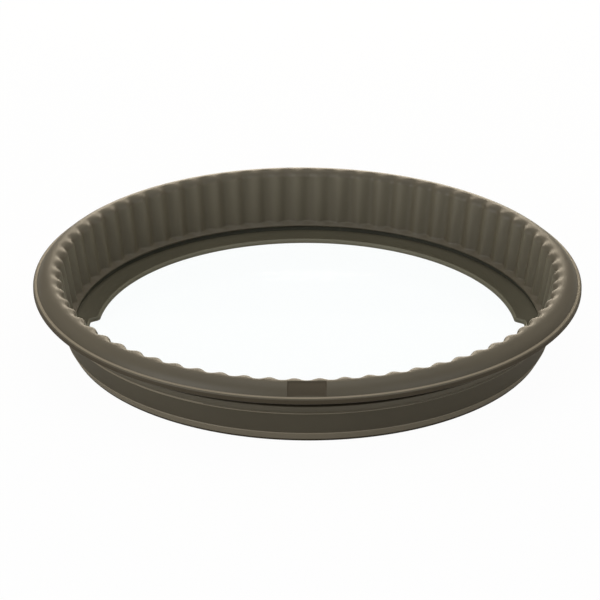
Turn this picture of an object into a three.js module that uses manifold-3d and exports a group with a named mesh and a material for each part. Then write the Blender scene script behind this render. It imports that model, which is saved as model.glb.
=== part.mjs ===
// Glass-bottom tart pan: a fluted silicone ring that grips the edge of a round glass plate.
// Millimetres, +Z up. The origin is on the axis of the pan, in the plane that it stands on.
// The front, with the bare panel in the rim, is the -Y side.

import * as THREE from 'three';
import { mergeVertices } from 'three/addons/utils/BufferGeometryUtils.js';
import Module from 'manifold-3d';

const wasm = await Module();
wasm.setup();

// Driving dimensions: the glass plate and how the ring holds it
const GLASS_DIAMETER = 268;
const GLASS_THICKNESS = 4;
const GLASS_EDGE_CHAMFER = 0.6;
const SEAT_CLEARANCE = 0.3;           // glass to silicone, all round
const FLANGE_WIDTH = 16;              // reach of the flange under the glass
const FLANGE_THICKNESS = 2.6;
const LIP_OVERLAP = 1.5;              // reach of the lip over the glass
const LIP_EDGE = 0.7;                 // thickness of the lip at its edge
const LIP_LIFT = 1;                   // how far the lip's edge stands above the glass
const LEDGE_WIDTH = 1.6;              // sloping top of the lip, from its edge to the flutes
const LEDGE_SLOPE = 0.75;             // rise of that slope for each millimetre outwards

// Driving dimensions: the foot and the fluted wall
const HEIGHT = 40;                    // table to the crown of the rim
const FOOT_WALL = 0.2;                // silicone outside the groove, at the table
const FOOT_BAND_HEIGHT = 6;           // tapered band round the foot
const WALL_DRAFT = 0.2042;            // how much the wall leans out for each millimetre of height
const WALL_THICKNESS = 1.8;           // silicone left behind a flute's valley
const FLUTE_COUNT = 68;
const FLUTE_DEPTH = 2.2;              // crest to valley, at the rim
const FLUTE_FOOT_DEPTH = 1;           // crest to valley, at the ledge
const FLUTE_EDGE_ROUND = 3;           // curve where the flutes run out over the rim

// Driving dimensions: the rim
const RIM_WIDTH = 14.8;               // flutes' crests to the outside of the bead
const RIM_DROP = 4.7;                 // how far the rim's edge lies below its crown
const CROWN_INSET = 3.6;              // flutes' crests to the crown, the rim's highest line
const BEAD_WIDTH = 1;                 // how far the bead stands out past the curve of the rim
const BEAD_HEIGHT = 3.8;              // the rim's outer edge, top to bottom
const BEAD_ROUND = 1.1;               // curve at the bottom of the bead
const UNDERSIDE_WIDTH = 2.2;          // flat part of the rim's underside, next to the bead
const COVE_HEIGHT = 13.3;             // hollow curve under the rim, down to the crease round the wall

// Driving dimensions: the finger notches in the flange and the bare panel in the rim
const NOTCH_WIDTH = 15;               // for a fingertip
const NOTCH_DEPTH = 5;                // into the flange's inner edge
const NOTCH_ROUND = 3;                // curve of its inner corners
const NOTCH_MOUTH_ROUND = 2.4;        // curve of the flange's edge into the notch
const PANEL_WIDTH = 20.6;
const PANEL_LENGTH = 8.7;             // from the rim's crown towards the bead
const PANEL_DEPTH = 0.7;

// Fineness of the facets, and how far a cutter runs past what it cuts
const RING_SEGMENTS = 2 * FLUTE_COUNT;
const FLUTE_STEPS = 6;
const ARC_STEPS = 3;
const ROUND_STEPS = 2;
const CUTTER_OVERRUN = 1;

// Places that follow from the sizes: the glass and its groove
const glassRadius = GLASS_DIAMETER / 2;
const glassBottomZ = FLANGE_THICKNESS + SEAT_CLEARANCE;
const glassTopZ = glassBottomZ + GLASS_THICKNESS;
const grooveRadius = glassRadius + SEAT_CLEARANCE;
const grooveTopZ = glassTopZ + SEAT_CLEARANCE;
const flangeRadius = glassRadius - FLANGE_WIDTH;
const lipRadius = glassRadius - LIP_OVERLAP;
const lipBottomZ = glassTopZ + LIP_LIFT;
const lipTopZ = lipBottomZ + LIP_EDGE;

// Places that follow from the sizes: the wall, by height, and the ledge at its foot, by radius
const ledgeRadius = lipRadius + LEDGE_WIDTH;
const ledgeZ = (radius) => lipTopZ + (radius - lipRadius) * LEDGE_SLOPE;
const crestRadius = (z) => ledgeRadius + (z - ledgeZ(ledgeRadius)) * WALL_DRAFT;
const outerRadius = (z) => crestRadius(z) + FLUTE_DEPTH + WALL_THICKNESS;

// Places that follow from the sizes: the rim, whose top is an arc from its crown to its bead
const rimRadius = crestRadius(HEIGHT) + RIM_WIDTH;
const crownRadius = crestRadius(HEIGHT) + CROWN_INSET;
const crownReach = rimRadius - BEAD_WIDTH - crownRadius;
const crownCurve = (crownReach ** 2 + RIM_DROP ** 2) / (2 * RIM_DROP);
const crownCentreZ = HEIGHT - crownCurve;
const beadBottomZ = HEIGHT - RIM_DROP - BEAD_HEIGHT;
const cutterTopZ = HEIGHT + CUTTER_OVERRUN;

// Share of the flutes' depth at an angle from the front, where a valley lies.
const fluteShare = (angle) => (1 + Math.cos(FLUTE_COUNT * angle)) / 2;

// A closed geometry as a solid that can be cut and joined.
function toSolid(geometry) {
	const bare = new THREE.BufferGeometry();
	bare.setAttribute('position', geometry.attributes.position);
	bare.setIndex(geometry.index);
	const merged = mergeVertices(bare);
	const corners = merged.index.array;
	const triVerts = [];
	for (let i = 0; i < corners.length; i += 3) {
		const [a, b, c] = corners.slice(i, i + 3);
		if (a !== b && b !== c && c !== a) triVerts.push(a, b, c);
	}
	const vertProperties = merged.attributes.position.array;
	const mesh = new wasm.Mesh({ numProp: 3, vertProperties, triVerts: Uint32Array.from(triVerts) });
	return new wasm.Manifold(mesh);
}

// A solid as a named mesh.
function toMesh(name, solid, material) {
	const { vertProperties, triVerts } = solid.getMesh();
	const geometry = new THREE.BufferGeometry();
	geometry.setAttribute('position', new THREE.BufferAttribute(vertProperties, 3));
	geometry.setIndex(new THREE.BufferAttribute(triVerts, 1));
	geometry.computeVertexNormals();
	const mesh = new THREE.Mesh(geometry, material);
	mesh.name = name;
	return mesh;
}

// A section of (radius, height) points turned about the Z axis, starting at the front.
function turned(points, segments) {
	return new THREE.LatheGeometry(points, segments).rotateX(Math.PI / 2);
}

// The ring before anything is cut from it: foot, outer wall, rim, lip and groove.
function ringBlank() {
	const shoulderZ = beadBottomZ - COVE_HEIGHT;
	const shoulderRadius = outerRadius(shoulderZ);
	const undersideRadius = rimRadius - BEAD_ROUND - UNDERSIDE_WIDTH;
	const coveRadius = (shoulderRadius + undersideRadius) / 2;
	const crownEndAngle = Math.acos(crownReach / crownCurve);

	const section = new THREE.Path();
	section.moveTo(flangeRadius, 0);
	section.lineTo(grooveRadius + FOOT_WALL, 0);
	section.lineTo(outerRadius(FOOT_BAND_HEIGHT), FOOT_BAND_HEIGHT);
	section.lineTo(shoulderRadius, shoulderZ);
	section.quadraticCurveTo(coveRadius, beadBottomZ, undersideRadius, beadBottomZ);
	section.lineTo(rimRadius - BEAD_ROUND, beadBottomZ);
	section.quadraticCurveTo(rimRadius, beadBottomZ, rimRadius, beadBottomZ + BEAD_ROUND);
	section.absarc(crownRadius, crownCentreZ, crownCurve, crownEndAngle, Math.PI / 2, false);
	section.lineTo(lipRadius, HEIGHT);
	section.lineTo(lipRadius, lipBottomZ);
	section.lineTo(grooveRadius, grooveTopZ);
	section.lineTo(grooveRadius, FLANGE_THICKNESS);
	section.lineTo(flangeRadius, FLANGE_THICKNESS);
	section.closePath();
	return toSolid(turned(section.getPoints(ARC_STEPS), RING_SEGMENTS));
}

// The outline of the cavity on the crest of a flute, from the axis under the lip to the axis above the rim.
function cavityOutline() {
	const floorRadius = lipRadius - CUTTER_OVERRUN;
	const roundZ = HEIGHT - FLUTE_EDGE_ROUND;
	const outline = [
		new THREE.Vector2(0, ledgeZ(floorRadius)),
		new THREE.Vector2(floorRadius, ledgeZ(floorRadius)),
		new THREE.Vector2(ledgeRadius, ledgeZ(ledgeRadius)),
	];
	for (let step = 0; step <= ROUND_STEPS; step++) {
		const turn = (step / ROUND_STEPS) * (Math.PI / 2);
		const radius = crestRadius(roundZ) + FLUTE_EDGE_ROUND * (1 - Math.cos(turn));
		outline.push(new THREE.Vector2(radius, roundZ + FLUTE_EDGE_ROUND * Math.sin(turn)));
	}
	outline.push(new THREE.Vector2(outline.at(-1).x, cutterTopZ));
	outline.push(new THREE.Vector2(0, cutterTopZ));
	return outline;
}

// The space that the tart fills. The turned outline is pushed out into the flutes, from the row of points
// on the ledge, which stays on the ledge's slope, to the row above the rim. The flutes get shallower
// towards the ledge.
function cavity() {
	const outline = cavityOutline();
	const ledgeRow = 2;
	const topRow = outline.length - 2;
	const segments = FLUTE_COUNT * FLUTE_STEPS;
	const geometry = turned(outline, segments);
	const positions = geometry.attributes.position;
	const point = new THREE.Vector3();
	for (let i = 0; i < positions.count; i++) {
		const row = i % outline.length;
		if (row < ledgeRow || row > topRow) continue;
		const angle = (Math.floor(i / outline.length) / segments) * 2 * Math.PI;
		const onLedge = row === ledgeRow;
		const depth = onLedge ? FLUTE_FOOT_DEPTH : FLUTE_DEPTH;
		const radius = outline[row].x + depth * fluteShare(angle);
		point.fromBufferAttribute(positions, i);
		point.setLength(1).setZ(0).setLength(radius);
		positions.setXYZ(i, point.x, point.y, onLedge ? ledgeZ(radius) : outline[row].y);
	}
	return toSolid(geometry);
}

// A finger notch through the flange: side is 1 for the +X side and -1 for the -X side.
function notch(side) {
	const end = flangeRadius + NOTCH_DEPTH;
	const half = NOTCH_WIDTH / 2;
	const mouthHalf = half + NOTCH_MOUTH_ROUND;
	const mouth = Math.sqrt(flangeRadius ** 2 - mouthHalf ** 2);
	const outline = new THREE.Shape();
	outline.moveTo(0, -mouthHalf);
	outline.lineTo(mouth, -mouthHalf);
	outline.quadraticCurveTo(mouth, -half, mouth + NOTCH_MOUTH_ROUND, -half);
	outline.lineTo(end - NOTCH_ROUND, -half);
	outline.quadraticCurveTo(end, -half, end, -half + NOTCH_ROUND);
	outline.lineTo(end, half - NOTCH_ROUND);
	outline.quadraticCurveTo(end, half, end - NOTCH_ROUND, half);
	outline.lineTo(mouth + NOTCH_MOUTH_ROUND, half);
	outline.quadraticCurveTo(mouth, half, mouth, mouthHalf);
	outline.lineTo(0, mouthHalf);
	outline.closePath();
	const depth = FLANGE_THICKNESS + 2 * CUTTER_OVERRUN;
	const cut = new THREE.ExtrudeGeometry(outline, { depth, bevelEnabled: false, curveSegments: ARC_STEPS });
	cut.translate(0, 0, -CUTTER_OVERRUN);
	if (side > 0) return toSolid(cut);
	cut.rotateY(Math.PI);
	cut.translate(0, 0, FLANGE_THICKNESS);
	return toSolid(cut);
}

// The bare panel in the rim: a band that lies PANEL_DEPTH under the rim's top, cut to a straight width.
function panelRecess() {
	const floorCurve = crownCurve - PANEL_DEPTH;
	const outerAngle = Math.acos(PANEL_LENGTH / floorCurve);
	const section = new THREE.Path();
	section.moveTo(crownRadius + PANEL_LENGTH, cutterTopZ);
	section.lineTo(crownRadius, cutterTopZ);
	section.absarc(crownRadius, crownCentreZ, floorCurve, Math.PI / 2, outerAngle, true);
	section.closePath();
	const band = toSolid(turned(section.getPoints(ARC_STEPS), RING_SEGMENTS));
	const strip = new THREE.BoxGeometry(PANEL_WIDTH, rimRadius, 2 * HEIGHT);
	strip.translate(0, -rimRadius / 2, HEIGHT);
	return band.intersect(toSolid(strip));
}

function siliconeRing() {
	const silicone = new THREE.MeshStandardMaterial({ color: 0x5e574b, roughness: 0.45, metalness: 0 });
	const cuts = cavity().add(notch(1)).add(notch(-1)).add(panelRecess());
	return toMesh('silicone_ring', ringBlank().subtract(cuts), silicone);
}

function glassBase() {
	const glass = new THREE.MeshStandardMaterial({ color: 0xf2f7f5, roughness: 0.03, metalness: 0 });
	const faceRadius = glassRadius - GLASS_EDGE_CHAMFER;
	const section = [
		new THREE.Vector2(0, glassBottomZ),
		new THREE.Vector2(faceRadius, glassBottomZ),
		new THREE.Vector2(glassRadius, glassBottomZ + GLASS_EDGE_CHAMFER),
		new THREE.Vector2(glassRadius, glassTopZ - GLASS_EDGE_CHAMFER),
		new THREE.Vector2(faceRadius, glassTopZ),
		new THREE.Vector2(0, glassTopZ),
	];
	return toMesh('glass_base', toSolid(turned(section, RING_SEGMENTS)), glass);
}

const tartPan = new THREE.Group();
tartPan.add(siliconeRing(), glassBase());

export default tartPan;
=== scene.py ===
# %% [markdown]
# # A glass-bottom tart pan
#
# The pan has two pieces. A ring of moulded silicone makes the fluted wall, the wide rim and the
# foot. A round plate of clear glass sits in a groove at the bottom of the ring.

import math

import bmesh
import bpy
from mathutils import Matrix, Vector


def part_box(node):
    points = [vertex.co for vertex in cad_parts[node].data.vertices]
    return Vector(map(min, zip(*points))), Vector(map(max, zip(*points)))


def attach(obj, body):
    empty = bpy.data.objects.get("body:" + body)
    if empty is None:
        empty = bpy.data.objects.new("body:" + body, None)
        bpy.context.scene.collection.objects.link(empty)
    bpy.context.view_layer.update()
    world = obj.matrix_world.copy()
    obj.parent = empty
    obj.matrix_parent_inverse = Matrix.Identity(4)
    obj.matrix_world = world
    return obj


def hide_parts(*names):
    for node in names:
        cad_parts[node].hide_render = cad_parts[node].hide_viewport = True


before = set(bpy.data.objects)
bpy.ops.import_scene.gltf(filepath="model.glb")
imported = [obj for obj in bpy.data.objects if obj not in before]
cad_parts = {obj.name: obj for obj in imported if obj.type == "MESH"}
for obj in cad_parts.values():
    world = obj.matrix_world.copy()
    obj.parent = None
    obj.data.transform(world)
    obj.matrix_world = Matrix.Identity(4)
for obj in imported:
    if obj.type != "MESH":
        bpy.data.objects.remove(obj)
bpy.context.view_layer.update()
MM = 0.001

# %% [markdown]
# ## Sizes from the frame
#
# The two CAD boxes give the sizes that everything else hangs on: how wide and high the ring is,
# and where the glass lies. The small sizes of the section are written beside the code that uses
# them, in millimetres, as steps in from these.

# %% Read the two boxes
_, ring_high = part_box("silicone_ring")
glass_low, glass_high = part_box("glass_base")
rim_radius = ring_high.x
ring_height = ring_high.z
glass_radius = glass_high.x
glass_bottom = glass_low.z
glass_top = glass_high.z
print("rim and glass radius in mm:", round(rim_radius / MM, 2), round(glass_radius / MM, 2))

# %% [markdown]
# ## The camera
#
# The photograph looks down at the pan from the front, from far off with a long lens, so the near
# and far rims look almost alike. The place, tilt and lens were found by fitting the ellipses of
# the rim, the foot and the glass. The lens is centred, so the camera needs no shift.

# %% Place the camera
CAMERA_DISTANCE = 1.612
CAMERA_HEIGHT_DEG = 25.70
CAMERA_TILT_DEG = -25.073
CAMERA_TURN_DEG = 0.163
CAMERA_ROLL_DEG = 0.15
LENS_MM = 168.9
SENSOR_MM = 36.0

camera_data = bpy.data.cameras.new("studio_camera")
camera_data.lens = LENS_MM
camera_data.sensor_width = SENSOR_MM
camera = bpy.data.objects.new("studio_camera", camera_data)
bpy.context.scene.collection.objects.link(camera)
climb = math.radians(CAMERA_HEIGHT_DEG)
place = Vector((0, -CAMERA_DISTANCE * math.cos(climb), CAMERA_DISTANCE * math.sin(climb)))
turn = Matrix.Rotation(math.radians(CAMERA_TURN_DEG), 4, "Z")
tilt = Matrix.Rotation(math.radians(90 + CAMERA_TILT_DEG), 4, "X")
roll = Matrix.Rotation(math.radians(CAMERA_ROLL_DEG), 4, "Z")
camera.matrix_world = Matrix.Translation(place) @ turn @ tilt @ roll
bpy.context.scene.camera = camera
print("camera at", [round(x, 3) for x in place])

# %% [markdown]
# ## A pen for sections
#
# Both pieces are round, so each starts as half of its cut face, the section, which is then turned
# about the pan's axis. A section could be a curve object or a list of points. Here it is drawn
# with two mesh operators, as with a pen: extruding the last vertex draws a straight stroke, and
# spinning it draws a round one. Each corner says how far it is rounded, so the strokes between
# the corners work themselves out.

# %% Draw a section with rounded corners
ARC_STEP_DEG = 11
TINY = 0.001 * MM


def stroke_to(mesh, pen, radius, z):
    """Extrudes the pen's vertex to a new place in the section and returns the new one."""
    drawn = bmesh.ops.extrude_vert_indiv(mesh, verts=[pen])["verts"][0]
    drawn.co = (radius, 0, z)
    return drawn


def rounded_corner(before, corner, after, size):
    """Where the round of a corner starts, the centre of its arc, and how far it turns."""
    arriving = (corner - before).normalized()
    leaving = (after - corner).normalized()
    turn_by = math.atan2(arriving.cross(leaving), arriving.dot(leaving))
    start = corner - arriving * size * math.tan(abs(turn_by) / 2)
    side = Vector((-arriving.y, arriving.x)) * math.copysign(size, turn_by)
    return start, start + side, turn_by


def draw_section(mesh, corners, closed):
    """Draws (radius, z, round) corners in the XZ plane as a chain of edges."""
    points = [Vector((radius, z)) for radius, z, _ in corners]
    pen = None
    for index, (_, _, size) in enumerate(corners):
        at_end = not closed and index in (0, len(corners) - 1)
        if size == 0 or at_end:
            start, turn_by = points[index], 0
        else:
            after = points[(index + 1) % len(points)]
            start, centre, turn_by = rounded_corner(points[index - 1], points[index], after, size)
        if pen is None:
            pen = first = mesh.verts.new((start.x, 0, start.y))
        else:
            pen = stroke_to(mesh, pen, start.x, start.y)
        if turn_by:
            steps = max(2, math.ceil(abs(math.degrees(turn_by)) / ARC_STEP_DEG))
            arc = bmesh.ops.spin(
                mesh, geom=[pen], cent=(centre.x, 0, centre.y), axis=(0, -1, 0),
                angle=turn_by, steps=steps, use_merge=False, use_duplicate=False,
            )
            pen = next(part for part in arc["geom_last"] if isinstance(part, bmesh.types.BMVert))
    if closed:
        mesh.edges.new((pen, first))


def turn_section(mesh, sectors, steps):
    """Turns the section through one sector in steps, then copies the sector round the axis."""
    sector = 2 * math.pi / sectors
    bmesh.ops.spin(
        mesh, geom=mesh.verts[:] + mesh.edges[:], cent=(0, 0, 0), axis=(0, 0, 1),
        angle=sector, steps=steps, use_merge=False, use_duplicate=False,
    )
    bmesh.ops.spin(
        mesh, geom=mesh.verts[:] + mesh.edges[:] + mesh.faces[:], cent=(0, 0, 0), axis=(0, 0, 1),
        angle=2 * math.pi - sector, steps=sectors - 1, use_merge=False, use_duplicate=True,
    )
    bmesh.ops.remove_doubles(mesh, verts=mesh.verts[:], dist=TINY)
    bmesh.ops.recalc_face_normals(mesh, faces=mesh.faces[:])


def open_edges(mesh):
    """How many edges don't have exactly two faces. A closed shape has none."""
    return sum(1 for edge in mesh.edges if len(edge.link_faces) != 2)


print("round strokes turn by at most", ARC_STEP_DEG, "degrees a step")

# %% [markdown]
# ## The section of the silicone ring
#
# On the real pan, the ring is compression-moulded in one piece. Its wall leans out, a tapered
# band makes the foot, and a crease with a fine ridge runs round the outside where the wall starts
# to flare out to the rim. The rim is crowned, with a bead along its edge and a recess in the
# shadow under the bead. Inside, a thin lip reaches over the glass, and a wide flat flange under
# the glass carries it. All of that is in one closed section.

# %% Sizes of the foot, the lip and the wall
SEAT_GAP = 0.3 * MM
FLANGE_WIDTH = 14.5 * MM
FLANGE_ROUND = 1.6 * MM
LIP_OVERLAP = 1.5 * MM
LIP_EDGE = 0.7 * MM
LIP_LIFT = 0.6 * MM
LEDGE_WIDTH = 1.6 * MM
LEDGE_SLOPE = 0.75
LEDGE_ROUND = 2.5 * MM
FOOT_WALL = 0.2 * MM
FOOT_BAND = 6 * MM
FOOT_BAND_STEP = 0.3 * MM
FOOT_ROUND = 1.5 * MM
FOOT_EDGE = 1.8 * MM
FOOT_THICKNESS = 4 * MM
OUTSIDE_DRAFT = 0.2042
CREST_DRAFT = 0.16
SMALL_ROUND = 0.25 * MM

flange_radius = glass_radius - FLANGE_WIDTH
flange_top = glass_bottom - SEAT_GAP
groove_radius = glass_radius + SEAT_GAP
lip_radius = glass_radius - LIP_OVERLAP
lip_top = glass_top + LIP_LIFT + LIP_EDGE
ledge_radius = lip_radius + LEDGE_WIDTH
ledge_height = lip_top + LEDGE_WIDTH * LEDGE_SLOPE


def crest_radius(z):
    """Radius of the flutes' crests at a height."""
    return ledge_radius + (z - ledge_height) * CREST_DRAFT


def outer_radius(z):
    """Radius of the plain outside of the wall at a height."""
    return ledge_radius + FOOT_THICKNESS + (z - ledge_height) * OUTSIDE_DRAFT


foot_radius = groove_radius + FOOT_WALL
band_radius = outer_radius(FOOT_BAND) + FOOT_BAND_STEP
foot_edge_radius = foot_radius + (band_radius - foot_radius) * FOOT_EDGE / FOOT_BAND
print("foot radius, ledge height in mm:", round(foot_radius / MM, 2), round(ledge_height / MM, 2))

# %% Sizes of the crease, the flare and the rim
CREASE_HEIGHT = 18.8 * MM
CREASE_STEP = 0.8 * MM
CREASE_RIDGE = 0.5 * MM
FLARE_HEIGHT = 24.6 * MM
FLARE_WIDTH = 2.5 * MM
RECESS_IN = 2.8 * MM
RECESS_RISE = 0.5 * MM
RECESS_TOP_IN = 12.5 * MM
RECESS_ROUND = 2 * MM
BEAD_BOTTOM = 8 * MM
BEAD_BOTTOM_ROUND = 0.7 * MM
BEAD_TOP = 5 * MM
BEAD_TOP_ROUND = 1.2 * MM
BEAD_WIDTH = 2.25 * MM
CROWN_FOOT = 4.6 * MM
CROWN_ROUND = 9.6 * MM
CROWN_CORNER_IN = 6.13 * MM
CROWN_CORNER_UP = 2.7 * MM
SCALLOP_DROP = 0.1 * MM
SCALLOP_ROUND = 3.5 * MM

bead_bottom = ring_height - BEAD_BOTTOM
scallop_height = ring_height - SCALLOP_DROP
ridge_radius = outer_radius(CREASE_HEIGHT) + CREASE_STEP
ridge_height = CREASE_HEIGHT + CREASE_STEP
flare_radius = ridge_radius + FLARE_WIDTH
print("ridge, bead bottom in mm:", round(ridge_height / MM, 2), round(bead_bottom / MM, 2))

# %% [markdown]
# The corners run once round the section: out along the underside, up the outside, over the rim,
# down the inner wall and through the groove that holds the glass. Each has a radius, a height and
# the size of its round.

# %% Corners of the ring's section
foot_corners = [
    (flange_radius, 0, 2 * SMALL_ROUND),
    (foot_radius, 0, FOOT_ROUND),
    (foot_edge_radius, FOOT_EDGE, 0),
    (band_radius, FOOT_BAND, SMALL_ROUND),
    (outer_radius(FOOT_BAND), FOOT_BAND + FOOT_BAND_STEP, SMALL_ROUND),
    (outer_radius(CREASE_HEIGHT), CREASE_HEIGHT, SMALL_ROUND),
    (ridge_radius, ridge_height - CREASE_RIDGE, SMALL_ROUND),
    (ridge_radius, ridge_height, SMALL_ROUND),
    (ridge_radius - CREASE_RIDGE, ridge_height + CREASE_RIDGE, SMALL_ROUND),
]
rim_corners = [
    (flare_radius, FLARE_HEIGHT, 2 * SMALL_ROUND),
    (flare_radius - RECESS_IN, FLARE_HEIGHT + RECESS_RISE, SMALL_ROUND),
    (rim_radius - RECESS_TOP_IN, bead_bottom, RECESS_ROUND),
    (rim_radius, bead_bottom, BEAD_BOTTOM_ROUND),
    (rim_radius, ring_height - BEAD_TOP, BEAD_TOP_ROUND),
    (rim_radius - BEAD_WIDTH, ring_height - CROWN_FOOT, SMALL_ROUND),
    (rim_radius - CROWN_CORNER_IN, ring_height + CROWN_CORNER_UP, CROWN_ROUND),
]
wall_corners = [
    (crest_radius(scallop_height), scallop_height, SCALLOP_ROUND),
    (ledge_radius, ledge_height, LEDGE_ROUND),
    (lip_radius, lip_top, SMALL_ROUND),
    (lip_radius, glass_top + LIP_LIFT, SMALL_ROUND),
]
groove_corners = [
    (groove_radius, glass_top + SEAT_GAP, 0),
    (groove_radius, flange_top, 0),
    (flange_radius, flange_top, FLANGE_ROUND),
]
ring_corners = foot_corners + rim_corners + wall_corners + groove_corners
print("corners in the ring's section:", len(ring_corners))

# %% Turn the ring
FLUTE_COUNT = 68
STEPS_PER_FLUTE = 12

ring_mesh = bmesh.new()
draw_section(ring_mesh, ring_corners, closed=True)
print("points in the ring's section:", len(ring_mesh.verts))
turn_section(ring_mesh, FLUTE_COUNT, STEPS_PER_FLUTE)
print("faces after turning:", len(ring_mesh.faces), "open edges:", open_edges(ring_mesh))

# %% [markdown]
# ## The bare panel in the rim
#
# At the front of the rim the mould leaves a shallow sunken panel. It could be a displacement in
# the material, but its edge would then vanish from the mesh. Cuts with bisect_plane draw its
# outline and, a little inside, the outline of its floor, and then the floor is moved down. The
# cuts touch only the faces near the panel, so the rest of the ring stays an even grid.

# %% Sink the panel
PANEL_HALF_WIDTH = 10.3 * MM
PANEL_INNER_IN = 9.9 * MM
PANEL_OUTER_IN = 2.6 * MM
PANEL_DEPTH = 0.7 * MM
PANEL_SLOPE = 0.4 * MM
# Slot 1 is the dull panel and also painted shade on the foot's edge and the bead's face. Slot 2 is
# painted highlight.
MATTE_AND_SHADE_SLOT, PAINTED_HIGHLIGHT_SLOT = 1, 2  # slot 0 is the plain moulding


def split(mesh, faces, point, normal):
    """Cuts the given faces with a plane and returns the faces on both sides."""
    edges = {edge for face in faces for edge in face.edges}
    verts = {vert for face in faces for vert in face.verts}
    cut = bmesh.ops.bisect_plane(
        mesh, geom=[*verts, *edges, *faces], dist=TINY, plane_co=point, plane_no=normal,
    )
    return [part for part in cut["geom"] if isinstance(part, bmesh.types.BMFace)]


def middle(face):
    return face.calc_center_median()


def inside_panel(point, edge):
    """True for a point inside the panel's outline drawn in by an edge."""
    in_width = abs(point.x) < PANEL_HALF_WIDTH - edge + TINY
    return in_width and panel_inner + edge - TINY < -point.y < panel_outer - edge + TINY


panel_inner = rim_radius - PANEL_INNER_IN
panel_outer = rim_radius - PANEL_OUTER_IN
near_panel = [
    face for face in ring_mesh.faces
    if middle(face).z > ring_height - CROWN_FOOT and middle(face).y < 0
    and abs(middle(face).x) < 2 * PANEL_HALF_WIDTH
]
for edge in (0, PANEL_SLOPE):
    for side in (-1, 1):
        beside = side * (PANEL_HALF_WIDTH - edge)
        near_panel = split(ring_mesh, near_panel, (beside, 0, 0), (1, 0, 0))
    for line in (panel_inner + edge, panel_outer - edge):
        near_panel = split(ring_mesh, near_panel, (0, -line, 0), (0, 1, 0))
panel = [face for face in near_panel if inside_panel(middle(face), 0)]
floor_verts = {vert for face in panel for vert in face.verts if inside_panel(vert.co, PANEL_SLOPE)}
bmesh.ops.translate(ring_mesh, verts=list(floor_verts), vec=(0, 0, -PANEL_DEPTH))
for face in panel:
    face.material_index = MATTE_AND_SHADE_SLOT
bmesh.ops.recalc_face_normals(ring_mesh, faces=ring_mesh.faces[:])
print("panel faces:", len(panel), "open edges:", open_edges(ring_mesh))

# %% [markdown]
# ## The flutes and the finger notches
#
# The inside of the wall is fluted, so that the tart comes out with a crinkled edge. The flutes
# are a cosine wave round the pan, a little deeper at the ledge than at the rim. Every vertex of
# the inner wall moves out by that wave, and over the rim the wave fades away, which leaves soft
# scallops. The mouth of each valley also sinks a little, and behind the panel the crests are
# pared. Two notches in the flange, left and right, let a fingertip push the glass up. They are
# made in the same way: the flange's inner edge moves out in one smooth swell on each side.
#
# A soft ring never stands quite flat. A slight twist lifts the rim on two sides and lowers it
# between them, as in a saddle.

# %% Shape of the flutes and notches
FLUTE_DEPTH = 1.9 * MM
FLUTE_FOOT_DEPTH = 2.2 * MM
FLUTE_FADE = 6.5 * MM
VALLEY_DROP = 0.9 * MM
CREST_LEFT = 0.95
CREST_PARED = 3 * MM
LEDGE_FADE = 1 * MM
NOTCH_HALF_WIDTH = 7.5 * MM
NOTCH_SOFTNESS = 2.5 * MM
NOTCH_DEPTH = 5 * MM
TWIST = 0.6 * MM
TWIST_TURN_DEG = 135


def out_from_axis(point):
    return math.hypot(point.x, point.y)


def smooth_step(x):
    """0 below 0, 1 above 1, and a soft rise between."""
    x = min(1, max(0, x))
    return x * x * (3 - 2 * x)


def flute_wave(point):
    """Share of the flutes' depth at this angle: 0 on a crest and 1 in a valley."""
    crest = (1 - math.cos(FLUTE_COUNT * math.atan2(point.y, point.x))) / 2
    if point.y < 0 and abs(point.x) < PANEL_HALF_WIDTH:
        near_top = smooth_step((point.z - scallop_height + CREST_PARED) / CREST_PARED)
        crest *= 1 - near_top * (1 - CREST_LEFT)
    return 1 - crest


def flute_depth(point):
    """How deep the flutes are at a point of the inner wall or the rim, and 0 elsewhere."""
    outward = out_from_axis(point) - crest_radius(point.z)
    if point.z < bead_bottom and outward > FOOT_THICKNESS / 2:
        return 0
    rise = (point.z - ledge_height) / (ring_height - ledge_height)
    depth = FLUTE_FOOT_DEPTH + (FLUTE_DEPTH - FLUTE_FOOT_DEPTH) * rise
    above_ledge = smooth_step((point.z - lip_top) / (ledge_height + LEDGE_FADE - lip_top))
    over_rim = smooth_step(outward / FLUTE_FADE)
    return depth * above_ledge * (1 - over_rim)


def notch_depth(point):
    """How far a point of the flange's inner edge moves out."""
    if point.z > flange_top + SEAT_GAP or out_from_axis(point) > flange_radius + NOTCH_DEPTH / 2:
        return 0
    from_mouth = NOTCH_HALF_WIDTH + NOTCH_SOFTNESS - abs(point.y)
    return NOTCH_DEPTH * smooth_step(from_mouth / (2 * NOTCH_SOFTNESS))


def twist(point):
    """How far the soft rim stands higher or lower than a flat one, as a saddle does."""
    around = math.atan2(point.y, point.x) - math.radians(TWIST_TURN_DEG)
    return TWIST * math.cos(2 * around) * point.z / ring_height


print("flutes:", FLUTE_COUNT, "notch width in mm:", round(2 * NOTCH_HALF_WIDTH / MM, 1))

# %% Move the vertices
for vert in ring_mesh.verts:
    flute = flute_depth(vert.co) * flute_wave(vert.co)
    stretch = 1 + (flute + notch_depth(vert.co)) / out_from_axis(vert.co)
    drop = VALLEY_DROP * flute / FLUTE_DEPTH * smooth_step(vert.co.z / scallop_height)
    rise = twist(vert.co) - drop
    vert.co.x *= stretch
    vert.co.y *= stretch
    vert.co.z += rise
print("top of the ring in mm:", round(max(vert.co.z for vert in ring_mesh.verts) / MM, 2))

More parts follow.
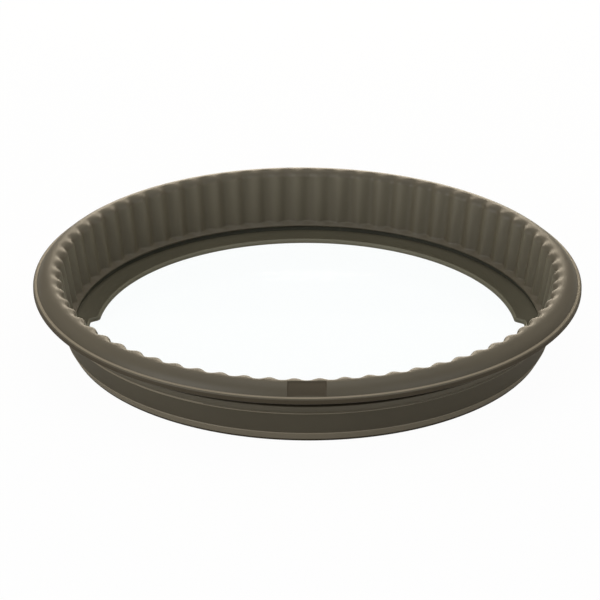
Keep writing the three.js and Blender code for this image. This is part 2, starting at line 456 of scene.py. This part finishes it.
# %% [markdown]
# ## Painted highlights and painted shade on the moulding
#
# These marks paint light and shade onto the moulding. The foot band, the fine ridge of the crease
# and the shelf behind the bead get a lighter colour. It is a painted highlight, and on the foot
# band a painted reflection of the floor. The edge of the foot and the upright face of the bead get
# the panel's dull dark colour, which there is painted shade: the contact shadow under the foot and
# the shade on the bead's face. These faces are picked by where they lie and how far up they look,
# and get slots of their own. The normals are still those of the plain turned shape, so the flutes
# don't disturb the marks.

# %% Mark the faces with painted highlights and painted shade
# The Z share of a normal is 1 for a face that looks straight up and 0 for an upright one.
SHELF = 0.93
UPRIGHT = 0.5


def on_foot_band(centre):
    outside = out_from_axis(centre) > groove_radius
    return outside and FOOT_EDGE < centre.z < FOOT_BAND + FOOT_BAND_STEP


def on_crease_ridge(centre):
    outside = out_from_axis(centre) > outer_radius(CREASE_HEIGHT)
    return outside and CREASE_HEIGHT < centre.z < ridge_height


def on_bead_shelf(centre, normal):
    return out_from_axis(centre) > rim_radius - BEAD_WIDTH and normal.z > SHELF


def on_bead_face(centre, normal):
    return out_from_axis(centre) > rim_radius - BEAD_TOP_ROUND and abs(normal.z) < UPRIGHT


def on_foot_edge(centre):
    return out_from_axis(centre) > groove_radius and centre.z < FOOT_EDGE


# Painted highlights go to one slot, and painted shade goes to the dull one.
for face in ring_mesh.faces:
    centre, normal = middle(face), face.normal
    if on_foot_band(centre) or on_crease_ridge(centre) or on_bead_shelf(centre, normal):
        face.material_index = PAINTED_HIGHLIGHT_SLOT
    elif on_foot_edge(centre) or on_bead_face(centre, normal):
        face.material_index = MATTE_AND_SHADE_SLOT
print("band faces:", sum(1 for face in ring_mesh.faces if face.material_index == PAINTED_HIGHLIGHT_SLOT))

# %% [markdown]
# The flange's inner edge, the inner wall and the flare under the rim get painted light too: a paler
# colour that stands in for the light and reflection they catch. It is strongest on the upper half
# of the wall's crests, and there is painted shade in the valleys and low on the wall. That change
# is gradual, so slots would leave hard lines. Every vertex carries its own share of painted light
# instead, and the material reads it as an attribute.

# %% Give every vertex its share of painted light
# The first three are shares of the pale colour, which paints light.
WALL_SHARE = 0.8
FLARE_SHARE = 0.45
EDGE_SHARE = 0.6
# The low wall and the valleys keep less of it, which is painted shade.
LOW_SHARE = 0.15  # how much of the wall's share is left at the ledge
VALLEY_SHADE = 0.6  # how much of it a valley loses
PAINTED_LIGHT_FALL = 8  # how fast it ends where the wall bends over to the rim
NOT_FLAT = 0.95  # the Z share of a normal where the flange starts to bend down


def on_flange_edge(point, normal):
    near_hole = out_from_axis(point) < lip_radius and point.z < flange_top
    return near_hole and normal.xy.dot(point.xy) < 0 and normal.z < NOT_FLAT


def on_flare(point):
    outside = out_from_axis(point) > outer_radius(CREASE_HEIGHT)
    return outside and ridge_height < point.z < FLARE_HEIGHT


def painted_light_share(point, normal):
    """The share of painted light: most on the upper half of a crest, and 0 on the rim."""
    if on_flare(point):
        return FLARE_SHARE
    if on_flange_edge(point, normal):
        return EDGE_SHARE
    if point.z < ledge_height:
        return 0
    inward = max(0, -normal.xy.dot(point.xy.normalized()))
    height = (point.z - ledge_height) / (ring_height - ledge_height)
    upward = LOW_SHARE + (1 - LOW_SHARE) * smooth_step(2 * height)
    return WALL_SHARE * upward * inward ** PAINTED_LIGHT_FALL * (1 - VALLEY_SHADE * flute_wave(point))


painted_light_layer = ring_mesh.verts.layers.float.new("painted_light_share")
for vert in ring_mesh.verts:
    vert[painted_light_layer] = painted_light_share(vert.co, vert.normal)
print("palest vertex:", round(max(vert[painted_light_layer] for vert in ring_mesh.verts), 2))

# %% [markdown]
# ## From mesh to piece
#
# A finished piece is an object at the origin with its place in its mesh. It rides on its CAD
# body and stands for its CAD node, which is hidden. Its finishes are added further on as material
# slots. Weighted normals keep the wide faces looking flat beside their narrow rounded edges.

# %% Make the ring's piece
FACE_WEIGHT = 100


def make_piece(name, mesh, body, node):
    """Turns a bmesh into a smooth-shaded piece that rides on a body and stands for a CAD node."""
    data = bpy.data.meshes.new(name)
    mesh.to_mesh(data)
    mesh.free()
    data.shade_smooth()
    piece = bpy.data.objects.new(name, data)
    bpy.context.scene.collection.objects.link(piece)
    weighted = piece.modifiers.new("weighted_normals", "WEIGHTED_NORMAL")
    weighted.weight = FACE_WEIGHT
    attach(piece, body)
    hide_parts(node)
    triangles = sum(len(polygon.vertices) - 2 for polygon in data.polygons)
    print(name, "has", triangles, "triangles")
    return piece


silicone_ring = make_piece("silicone_ring_moulding", ring_mesh, "ring", "silicone_ring")

# %% [markdown]
# ## The glass plate
#
# The base is a disc cut from float glass, with its edge ground round before it was tempered. Its
# section starts and ends on the axis, so turning it makes two poles, which merging doubles
# closes. The ground edge gets a material slot of its own.

# %% Turn the glass
GLASS_SECTORS = 12
STEPS_PER_SECTOR = 17
GROUND_EDGE = 0.6 * MM
CLEAR_SLOT, GROUND_SLOT = 0, 1

glass_mesh = bmesh.new()
flat_radius = glass_radius - 2 * GROUND_EDGE
glass_corners = [
    (0, glass_bottom, 0),
    (flat_radius, glass_bottom, 0),
    (glass_radius, glass_bottom, GROUND_EDGE),
    (glass_radius, glass_top, GROUND_EDGE),
    (flat_radius, glass_top, 0),
    (0, glass_top, 0),
]
draw_section(glass_mesh, glass_corners, closed=False)
turn_section(glass_mesh, GLASS_SECTORS, STEPS_PER_SECTOR)
for face in glass_mesh.faces:
    on_edge = out_from_axis(middle(face)) > glass_radius - GROUND_EDGE
    face.material_index = GROUND_SLOT if on_edge else CLEAR_SLOT
print("glass faces:", len(glass_mesh.faces), "open edges:", open_edges(glass_mesh))
glass_plate = make_piece("glass_base_plate", glass_mesh, "base_plate", "glass_base")

# %% [markdown]
# ## Helpers for the finishes
#
# Colours are written as hex values, as a paint program shows them. Blender's sockets want linear
# light, so one function turns one into the other. Another adds a node, sets it and links it.

# %% Colours and nodes
WHITE = (1, 1, 1, 1)
BUMP_STRENGTH = 0.5
MIX_FIRST, MIX_SECOND, MIX_RESULT = 6, 7, 2  # the colour sockets of a Mix node


def linear(hex_colour):
    """An sRGB hex colour as the linear colour, with alpha, that a socket wants."""
    shares = [int(hex_colour[place:place + 2], 16) / 255 for place in (1, 3, 5)]
    bent = [x / 12.92 if x <= 0.04045 else ((x + 0.055) / 1.055) ** 2.4 for x in shares]
    return (*bent, 1.0)


def add_node(tree, kind, settings=None, links=None):
    """Adds a node, sets its inputs and options by name, and links sockets into it."""
    node = tree.nodes.new(kind)
    for name, value in (settings or {}).items():
        if isinstance(name, int) or name in node.inputs:
            node.inputs[name].default_value = value
        else:
            setattr(node, name, value)
    for name, socket in (links or {}).items():
        tree.links.new(socket, node.inputs[name])
    return node


def new_material(name):
    """An empty material and its node tree."""
    material = bpy.data.materials.new(name)
    material.use_nodes = True
    material.node_tree.nodes.clear()
    return material, material.node_tree


def seen_share(tree, most):
    """A socket that is the given share for camera, mirror and glass rays, and 0 for the rest."""
    rays = add_node(tree, "ShaderNodeLightPath").outputs
    share = rays["Is Camera Ray"]
    for kind in ("Is Singular Ray", "Is Transmission Ray"):
        either = add_node(
            tree, "ShaderNodeMath", {"operation": "MAXIMUM"}, {0: share, 1: rays[kind]},
        )
        share = either.outputs[0]
    scaled = add_node(tree, "ShaderNodeMath", {"operation": "MULTIPLY", 1: most}, {0: share})
    return scaled.outputs[0]


print("mid grey #808080 in linear light:", round(linear("#808080")[0], 3))

# %% [markdown]
# ## Moulded silicone
#
# The ring is food-grade silicone rubber, coloured right through and pressed in a spark-eroded
# steel mould. That gives a satin skin with a fine even grain: soft highlights on the edges, and
# colour that drifts a little where pigment and filler lie unevenly. The grain is about a third of
# a millimetre on the real ring, and drawn a little coarser here so that it can show. Three finishes
# share that skin. The plain moulding also mixes in a paler colour as painted light. A dull dark one
# hardly shines; it is used for the panel, and as painted shade on the foot's edge and the bead's
# face. A lighter one is painted highlight.

# %% Silicone material
SILICONE_IOR = 1.41
GRAIN_MM = 0.6
DRIFT_MM = 40.0
GRAIN_HEIGHT = 0.012 * MM
SATIN = (0.46, 0.54)
DULL = (0.6, 0.75)


def silicone(name, dark, light, pale, roughness):
    """Silicone rubber between two near colours, with a paler colour mixed in by attribute as
    painted light, and a range of roughness.
    """
    smoothest, roughest = roughness
    material, tree = new_material(name)
    place = add_node(tree, "ShaderNodeTexCoord").outputs["Object"]
    drift = add_node(
        tree, "ShaderNodeTexNoise", {"Scale": 1 / (DRIFT_MM * MM), "Detail": 3}, {"Vector": place},
    )
    grain = add_node(
        tree, "ShaderNodeTexNoise", {"Scale": 1 / (GRAIN_MM * MM), "Detail": 2}, {"Vector": place},
    )
    colour = add_node(
        tree, "ShaderNodeMix",
        {"data_type": "RGBA", MIX_FIRST: linear(dark), MIX_SECOND: linear(light)},
        {0: drift.outputs[0]},
    )
    # The attribute is a share of painted light: the pale colour stands in for light and reflection.
    share = add_node(tree, "ShaderNodeAttribute", {"attribute_name": "painted_light_share"})
    tone = add_node(
        tree, "ShaderNodeMix", {"data_type": "RGBA", MIX_SECOND: linear(pale)},
        {0: share.outputs["Fac"], MIX_FIRST: colour.outputs[MIX_RESULT]},
    )
    rough = add_node(
        tree, "ShaderNodeMapRange", {"To Min": smoothest, "To Max": roughest},
        {"Value": grain.outputs[0]},
    )
    bump = add_node(
        tree, "ShaderNodeBump", {"Strength": BUMP_STRENGTH, "Distance": GRAIN_HEIGHT},
        {"Height": grain.outputs[0]},
    )
    skin = add_node(
        tree, "ShaderNodeBsdfPrincipled", {"IOR": SILICONE_IOR},
        {
            "Base Color": tone.outputs[MIX_RESULT], "Roughness": rough.outputs[0],
            "Normal": bump.outputs[0],
        },
    )
    add_node(tree, "ShaderNodeOutputMaterial", None, {"Surface": skin.outputs[0]})
    return material


# The plain moulding carries the painted light. The dull finish is the panel and also painted shade
# on the foot's edge and the bead's face. The lighter finish is painted highlight.
for finish in (
    silicone("moulded_silicone", "#484235", "#504a3c", "#706a5b", SATIN),
    silicone("dull_silicone_and_painted_shade", "#383021", "#3f3728", "#3f3728", DULL),
    silicone("painted_highlight_silicone", "#786f5d", "#817867", "#817867", SATIN),
):
    silicone_ring.data.materials.append(finish)
print("silicone materials:", [slot.name for slot in silicone_ring.data.materials])

# %% [markdown]
# ## Tempered glass
#
# The plate is tempered soda-lime glass: clear, with a trace of green from iron that shows only
# along its edge. The ground edge is tinted a dark brown-grey, partly as the real dull edge and
# partly as painted shade for the shadowed gap under the lip. Tempering on rollers leaves a very
# slight wave in its faces, which softens what it mirrors. The photograph shows hardly any mirror
# image in the plate, so the index is set lower than the 1.52 of real glass, the head-on reflection
# is left out, and most of the plate is plain refraction, which mirrors nothing. Lamps have to reach
# the flange through the plate, so only the eye's own rays see it as glass. For all others it is
# plainly transparent.

# %% Glass materials
GLASS_IOR = 1.18
GLASS_MIRROR = (0, 0, 0, 1)
MIRROR_SHARE = 0.08
ROLLER_WAVE_MM = 60.0
ROLLER_WAVE_HEIGHT = 0.004 * MM
GROUND_ROUGHNESS = 0.6
GROUND_GRAIN_MM = 0.5
GROUND_GRAIN_HEIGHT = 0.02 * MM


def glass(name, tint, shade, clearness, roughness, wave_mm, wave_height):
    """Glass with a faint wave in its surface, which lets the lamps' rays through with a shade."""
    material, tree = new_material(name)
    place = add_node(tree, "ShaderNodeTexCoord").outputs["Object"]
    wave = add_node(
        tree, "ShaderNodeTexNoise", {"Scale": 1 / (wave_mm * MM), "Detail": 1}, {"Vector": place},
    )
    bump = add_node(
        tree, "ShaderNodeBump", {"Strength": BUMP_STRENGTH, "Distance": wave_height},
        {"Height": wave.outputs[0]},
    )
    body = add_node(
        tree, "ShaderNodeBsdfPrincipled",
        {
            "Base Color": linear(tint), "Roughness": roughness, "IOR": GLASS_IOR,
            "Transmission Weight": clearness, "Specular Tint": GLASS_MIRROR,
        },
        {"Normal": bump.outputs[0]},
    )
    bent = add_node(
        tree, "ShaderNodeBsdfRefraction",
        {"Color": linear(tint), "Roughness": roughness, "IOR": GLASS_IOR},
        {"Normal": bump.outputs[0]},
    )
    body_share = 1 - clearness * (1 - MIRROR_SHARE)
    seen = add_node(
        tree, "ShaderNodeMixShader", {0: body_share}, {1: bent.outputs[0], 2: body.outputs[0]},
    )
    clear = add_node(tree, "ShaderNodeBsdfTransparent", {"Color": linear(shade)})
    surface = add_node(
        tree, "ShaderNodeMixShader", None,
        {0: seen_share(tree, 1), 1: clear.outputs[0], 2: seen.outputs[0]},
    )
    add_node(tree, "ShaderNodeOutputMaterial", None, {"Surface": surface.outputs[0]})
    return material


for finish in (
    glass(
        "tempered_clear_glass", "#feffff", "#f9fbf9", clearness=1, roughness=0,
        wave_mm=ROLLER_WAVE_MM, wave_height=ROLLER_WAVE_HEIGHT,
    ),
    # The ground edge's dark tint is partly the real dull edge and partly painted shade for the gap
    # under the lip.
    glass(
        "ground_glass_edge", "#3c3b34", "#3c3b34", clearness=0, roughness=GROUND_ROUGHNESS,
        wave_mm=GROUND_GRAIN_MM, wave_height=GROUND_GRAIN_HEIGHT,
    ),
):
    glass_plate.data.materials.append(finish)
print("glass materials:", [slot.name for slot in glass_plate.data.materials])

# %% [markdown]
# ## The studio
#
# The photograph has a pure white ground. The floor is a sheet of plain pale paper, which also
# throws light up under the rim. What the camera, a mirror ray or a ray through the glass sees of
# it is mostly plain white, and the rest is the floor's own shading, so a faint shadow stays. The
# world does the same beyond the floor.

# %% Floor and world
FLOOR_SIDE = 8.0
WHITE_SHARE = 0.97
FLOOR_COLOUR = "#d6d6d3"
WORLD_LIGHT = 0.2

floor_material, floor_tree = new_material("pale_studio_paper")
floor_paper = add_node(floor_tree, "ShaderNodeBsdfDiffuse", {"Color": linear(FLOOR_COLOUR)})
floor_white = add_node(floor_tree, "ShaderNodeEmission", {"Color": WHITE, "Strength": 1})
floor_seen = seen_share(floor_tree, WHITE_SHARE)
floor_mix = add_node(
    floor_tree, "ShaderNodeMixShader", None,
    {0: floor_seen, 1: floor_paper.outputs[0], 2: floor_white.outputs[0]},
)
add_node(floor_tree, "ShaderNodeOutputMaterial", None, {"Surface": floor_mix.outputs[0]})

floor_mesh = bmesh.new()
bmesh.ops.create_grid(floor_mesh, x_segments=1, y_segments=1, size=FLOOR_SIDE / 2)
floor_data = bpy.data.meshes.new("studio_floor")
floor_mesh.to_mesh(floor_data)
floor_mesh.free()
floor_data.materials.append(floor_material)
floor = bpy.data.objects.new("studio_floor", floor_data)
bpy.context.scene.collection.objects.link(floor)

world = bpy.data.worlds.new("studio_world")
world.use_nodes = True
sky_tree = world.node_tree
sky_tree.nodes.clear()
dome = add_node(sky_tree, "ShaderNodeBackground", {"Color": WHITE, "Strength": WORLD_LIGHT})
white = add_node(sky_tree, "ShaderNodeBackground", {"Color": WHITE, "Strength": 1})
sky = add_node(
    sky_tree, "ShaderNodeMixShader", None,
    {0: seen_share(sky_tree, 1), 1: dome.outputs[0], 2: white.outputs[0]},
)
add_node(sky_tree, "ShaderNodeOutputWorld", None, {"Surface": sky.outputs[0]})
bpy.context.scene.world = world
bpy.context.scene.view_settings.view_transform = "Standard"
print("floor", FLOOR_SIDE, "m, world light", WORLD_LIGHT)

# %% [markdown]
# ## The lamps
#
# Seven soft boxes light the pan. A large one hangs overhead. A wide one and a small card stand
# behind, and the scallops mirror the card as soft bright spots. Two stand at the sides, a little
# to the back, and two high in front, the left one stronger, so that the bead throws its shadow on
# the flare. The ones behind and beside are a little warm, because the highlights in the
# photograph are as warm as the silicone itself.

# %% Hang the soft boxes
BACK_COLOUR = "#fff0d7"


def soft_box(name, place, width, height, brightness, colour="#ffffff"):
    """A rectangular area lamp that faces the pan, with place and size in metres."""
    data = bpy.data.lights.new(name, "AREA")
    data.shape = "RECTANGLE"
    data.size = width
    data.size_y = height
    data.energy = brightness * math.pi * width * height
    data.color = linear(colour)[:3]
    lamp = bpy.data.objects.new(name, data)
    bpy.context.scene.collection.objects.link(lamp)
    lamp.location = place
    aim = Vector((0, 0, ring_height / 2)) - Vector(place)
    lamp.rotation_mode = "QUATERNION"
    lamp.rotation_quaternion = aim.to_track_quat("-Z", "Y")
    lamp.visible_camera = False


soft_box("overhead_box", (0, 0.15, 1.3), 1.0, 1.0, 1.6)
soft_box("back_box", (0, 1.1, 0.9), 1.4, 0.7, 0.9, BACK_COLOUR)
soft_box("back_card", (0, 0.95, 0.2), 0.66, 0.4, 6.6, BACK_COLOUR)
soft_box("left_box", (-1.05, 0.55, 0.9), 1.0, 1.0, 1.05, BACK_COLOUR)
soft_box("right_box", (1.05, 0.55, 0.9), 1.0, 1.0, 1.2, BACK_COLOUR)
soft_box("left_front_box", (-1.15, -0.95, 0.8), 1.2, 0.8, 4.8)
soft_box("right_front_box", (1.05, -0.95, 0.95), 1.2, 0.8, 2.6)
